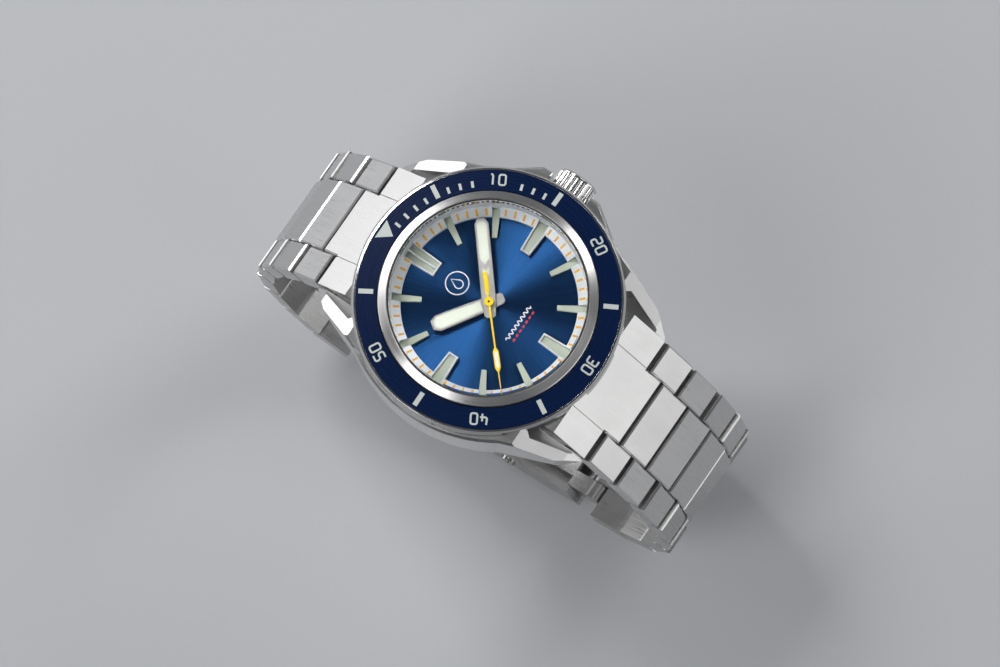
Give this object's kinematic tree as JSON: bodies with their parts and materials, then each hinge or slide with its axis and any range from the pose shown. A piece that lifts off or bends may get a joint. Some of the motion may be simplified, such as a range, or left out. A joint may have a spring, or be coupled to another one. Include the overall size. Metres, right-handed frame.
{
  "type": "dive watch",
  "caption": "Automatic dive watch with a turning blue bezel, sweep hands, screwed crown and a closed three-row steel bracelet with a folding clasp.",
  "frame": {"origin": "centre of the case back's outer face, which rests on the wrist", "axes": "+Z out of the dial, +Y towards 12 o'clock, +X towards 3 o'clock and the crown"},
  "size_m": [0.0457, 0.0788, 0.0641],
  "materials": {
    "steel": "brushed with polished bevels",
    "glass": "clear polished",
    "seal": "matte",
    "insert_blue": "satin ceramic",
    "dial_blue": "sunburst brushed lacquer",
    "silver": "satin",
    "lume": "pale luminous paint",
    "hand_yellow": "gloss",
    "gilt": "circular brushed",
    "nickel": "striped nickel",
    "spring_steel": "polished",
    "ruby": "polished",
    "holder": "moulded"
  },
  "bodies": {
    "case": {"case_middle": "steel", "case_back": "steel", "gaskets": "seal", "crystal": "glass", "crystal_ring": "steel", "bezel_click_spring": "steel", "crown_tube": "steel", "chapter_ring": "silver", "hour_markers": "lume", "dial": "dial_blue", "movement_holder": "holder", "main_plate": "nickel", "train_bridge": "nickel", "balance_cock": "nickel", "bridge_screws": "spring_steel", "jewels": "ruby", "mainspring": "spring_steel", "hairspring": "spring_steel", "spring_bars": "steel", "end_link_12": "steel", "end_link_6": "steel"},
    "bezel": {"bezel_ring": "steel", "bezel_insert": "insert_blue"},
    "clutch": {"sliding_pinion": "steel"},
    "crown_set": {"crown": "steel", "winding_stem": "steel"},
    "seconds_arbor": {"fourth_wheel": "gilt", "seconds_hand": "hand_yellow"},
    "minute_arbor": {"center_wheel": "gilt", "minute_hand": "silver"},
    "hour_tube": {"hour_wheel": "gilt", "hour_hand": "silver"},
    "minute_wheel_body": {"minute_wheel": "gilt"},
    "third_wheel_body": {"third_wheel": "gilt"},
    "barrel_body": {"barrel": "nickel"},
    "escape_body": {"escape_wheel": "spring_steel"},
    "pallet_body": {"pallet_fork": "spring_steel"},
    "balance_body": {"balance_wheel": "gilt"},
    "rotor_body": {"rotor": "nickel"},
    "clasp_inner": {"clasp_inner_blade": "steel"},
    "clasp_middle": {"clasp_middle_blade": "steel"},
    "clasp_outer": {"clasp_cover": "steel"},
    "button_right": {"clasp_button_right": "steel"},
    "button_left": {"clasp_button_left": "steel"},
    "link_12_1_body": {"link_12_1": "steel"},
    "link_12_2_body": {"link_12_2": "steel"},
    "link_12_3_body": {"link_12_3": "steel"},
    "link_12_4_body": {"link_12_4": "steel"},
    "link_12_5_body": {"link_12_5": "steel"},
    "link_12_6_body": {"link_12_6": "steel"},
    "link_12_7_body": {"link_12_7": "steel"},
    "link_12_8_body": {"link_12_8": "steel"},
    "link_6_1_body": {"link_6_1": "steel"},
    "link_6_2_body": {"link_6_2": "steel"},
    "link_6_3_body": {"link_6_3": "steel"},
    "link_6_4_body": {"link_6_4": "steel"},
    "link_6_5_body": {"link_6_5": "steel"},
    "link_6_6_body": {"link_6_6": "steel"},
    "link_6_7_body": {"link_6_7": "steel"},
    "link_6_8_body": {"link_6_8": "steel"}
  },
  "joints": [
    {"name": "bezel_turn", "type": "hinge", "parent": "case", "child": "bezel", "pos_m": [0, 0, 0.01], "axis": [0, 0, 1], "continuous": true},
    {"name": "crown_turn", "type": "hinge", "parent": "case", "child": "clutch", "pos_m": [0.0076, 0, 0.005], "axis": [1, 0, 0], "continuous": true},
    {"name": "crown_pull", "type": "slide", "parent": "clutch", "child": "crown_set", "axis": [1, 0, 0], "range_m": [0, 0.0015]},
    {"name": "seconds_turn", "type": "hinge", "parent": "case", "child": "seconds_arbor", "pos_m": [0, 0, 0.004], "axis": [0, 0, -1], "continuous": true},
    {"name": "minute_turn", "type": "hinge", "parent": "case", "child": "minute_arbor", "pos_m": [0, 0, 0.004], "axis": [0, 0, -1], "continuous": true},
    {"name": "hour_turn", "type": "hinge", "parent": "case", "child": "hour_tube", "pos_m": [0, 0, 0.004], "axis": [0, 0, -1], "continuous": true},
    {"name": "minute_wheel_turn", "type": "hinge", "parent": "case", "child": "minute_wheel_body", "pos_m": [-0.00184, 0.00154, 0.004], "axis": [0, 0, -1], "continuous": true},
    {"name": "third_wheel_turn", "type": "hinge", "parent": "case", "child": "third_wheel_body", "pos_m": [0.00132, -0.00493, 0.004], "axis": [0, 0, -1], "continuous": true},
    {"name": "barrel_turn", "type": "hinge", "parent": "case", "child": "barrel_body", "pos_m": [-0.00109, 0.00619, 0.004], "axis": [0, 0, -1], "continuous": true},
    {"name": "escape_turn", "type": "hinge", "parent": "case", "child": "escape_body", "pos_m": [-0.0047, -0.00171, 0.004], "axis": [0, 0, -1], "continuous": true},
    {"name": "rotor_turn", "type": "hinge", "parent": "case", "child": "rotor_body", "pos_m": [0, 0, 0.004], "axis": [0, 0, -1], "continuous": true},
    {"name": "pallet_swing", "type": "hinge", "parent": "case", "child": "pallet_body", "pos_m": [-0.00607, -0.00421, 0.0042], "axis": [0, 0, 1], "range_deg": [-5, 5]},
    {"name": "balance_swing", "type": "hinge", "parent": "case", "child": "balance_body", "pos_m": [-0.0071, -0.0061, 0.0035], "axis": [0, 0, 1], "range_deg": [-270, 270], "stiffness_Nm_per_rad": 0.0000002},
    {"name": "link_12_1_hinge", "type": "hinge", "parent": "case", "child": "link_12_1_body", "pos_m": [0, 0.0254, -0.0002], "axis": [1, 0, 0], "range_deg": [0, 4]},
    {"name": "link_12_2_hinge", "type": "hinge", "parent": "link_12_1_body", "child": "link_12_2_body", "pos_m": [0, 0.03033, -0.00531], "axis": [1, 0, 0], "range_deg": [0, 11.99]},
    {"name": "link_12_3_hinge", "type": "hinge", "parent": "link_12_2_body", "child": "link_12_3_body", "pos_m": [0, 0.03409, -0.01133], "axis": [1, 0, 0], "range_deg": [0, 12.99]},
    {"name": "link_12_4_hinge", "type": "hinge", "parent": "link_12_3_body", "child": "link_12_4_body", "pos_m": [0, 0.03641, -0.01804], "axis": [1, 0, 0], "range_deg": [0, 12.99]},
    {"name": "link_12_5_hinge", "type": "hinge", "parent": "link_12_4_body", "child": "link_12_5_body", "pos_m": [0, 0.03715, -0.0251], "axis": [1, 0, 0], "range_deg": [0, 13.99]},
    {"name": "link_12_6_hinge", "type": "hinge", "parent": "link_12_5_body", "child": "link_12_6_body", "pos_m": [0, 0.03616, -0.03213], "axis": [1, 0, 0], "range_deg": [0, 19]},
    {"name": "link_12_7_hinge", "type": "hinge", "parent": "link_12_6_body", "child": "link_12_7_body", "pos_m": [0, 0.03294, -0.03846], "axis": [1, 0, 0], "range_deg": [0, 16.02]},
    {"name": "link_12_8_hinge", "type": "hinge", "parent": "link_12_7_body", "child": "link_12_8_body", "pos_m": [0, 0.02809, -0.04365], "axis": [1, 0, 0], "range_deg": [0, 34.36]},
    {"name": "link_6_1_hinge", "type": "hinge", "parent": "case", "child": "link_6_1_body", "pos_m": [0, -0.0254, -0.0002], "axis": [-1, 0, 0], "range_deg": [0, 7]},
    {"name": "link_6_2_hinge", "type": "hinge", "parent": "link_6_1_body", "child": "link_6_2_body", "pos_m": [0, -0.03006, -0.00556], "axis": [-1, 0, 0], "range_deg": [0, 5]},
    {"name": "link_6_3_hinge", "type": "hinge", "parent": "link_6_2_body", "child": "link_6_3_body", "pos_m": [0, -0.03423, -0.0113], "axis": [-1, 0, 0], "range_deg": [0, 12.99]},
    {"name": "link_6_4_hinge", "type": "hinge", "parent": "link_6_3_body", "child": "link_6_4_body", "pos_m": [0, -0.03701, -0.01784], "axis": [-1, 0, 0], "range_deg": [0, 13.99]},
    {"name": "link_6_5_hinge", "type": "hinge", "parent": "link_6_4_body", "child": "link_6_5_body", "pos_m": [0, -0.03812, -0.02485], "axis": [-1, 0, 0], "range_deg": [0, 14.99]},
    {"name": "link_6_6_hinge", "type": "hinge", "parent": "link_6_5_body", "child": "link_6_6_body", "pos_m": [0, -0.03737, -0.03191], "axis": [-1, 0, 0], "range_deg": [0, 19]},
    {"name": "link_6_7_hinge", "type": "hinge", "parent": "link_6_6_body", "child": "link_6_7_body", "pos_m": [0, -0.03437, -0.03835], "axis": [-1, 0, 0], "range_deg": [0, 23.1]},
    {"name": "link_6_8_hinge", "type": "hinge", "parent": "link_6_7_body", "child": "link_6_8_body", "pos_m": [0, -0.02909, -0.04309], "axis": [-1, 0, 0], "range_deg": [0, 27.75]},
    {"name": "clasp_lift", "type": "hinge", "parent": "link_6_8_body", "child": "clasp_inner", "pos_m": [0, -0.0222, -0.04482], "axis": [-1, 0, 0], "range_deg": [0, 45]},
    {"name": "clasp_fold", "type": "hinge", "parent": "clasp_inner", "child": "clasp_middle", "pos_m": [0, 0.01202, -0.04728], "axis": [1, 0, 0], "range_deg": [0, 150]},
    {"name": "clasp_open", "type": "hinge", "parent": "clasp_middle", "child": "clasp_outer", "pos_m": [0, -0.01439, -0.04775], "axis": [-1, 0, 0], "range_deg": [0, 150]},
    {"name": "button_right_push", "type": "slide", "parent": "clasp_outer", "child": "button_right", "axis": [-1, 0, 0], "range_m": [0, 0.0005], "stiffness_N_per_m": 600},
    {"name": "button_left_push", "type": "slide", "parent": "clasp_outer", "child": "button_left", "axis": [1, 0, 0], "range_m": [0, 0.0005], "stiffness_N_per_m": 600}
  ],
  "couplings": [
    {"joint": "minute_turn", "follows": "seconds_turn", "ratio": 0.016667},
    {"joint": "hour_turn", "follows": "seconds_turn", "ratio": 0.0013889},
    {"joint": "minute_wheel_turn", "follows": "seconds_turn", "ratio": -0.0055556},
    {"joint": "third_wheel_turn", "follows": "seconds_turn", "ratio": -0.125},
    {"joint": "barrel_turn", "follows": "seconds_turn", "ratio": -0.002381},
    {"joint": "escape_turn", "follows": "seconds_turn", "ratio": -9},
    {"joint": "clasp_fold", "follows": "clasp_open", "ratio": 1}
  ]
}
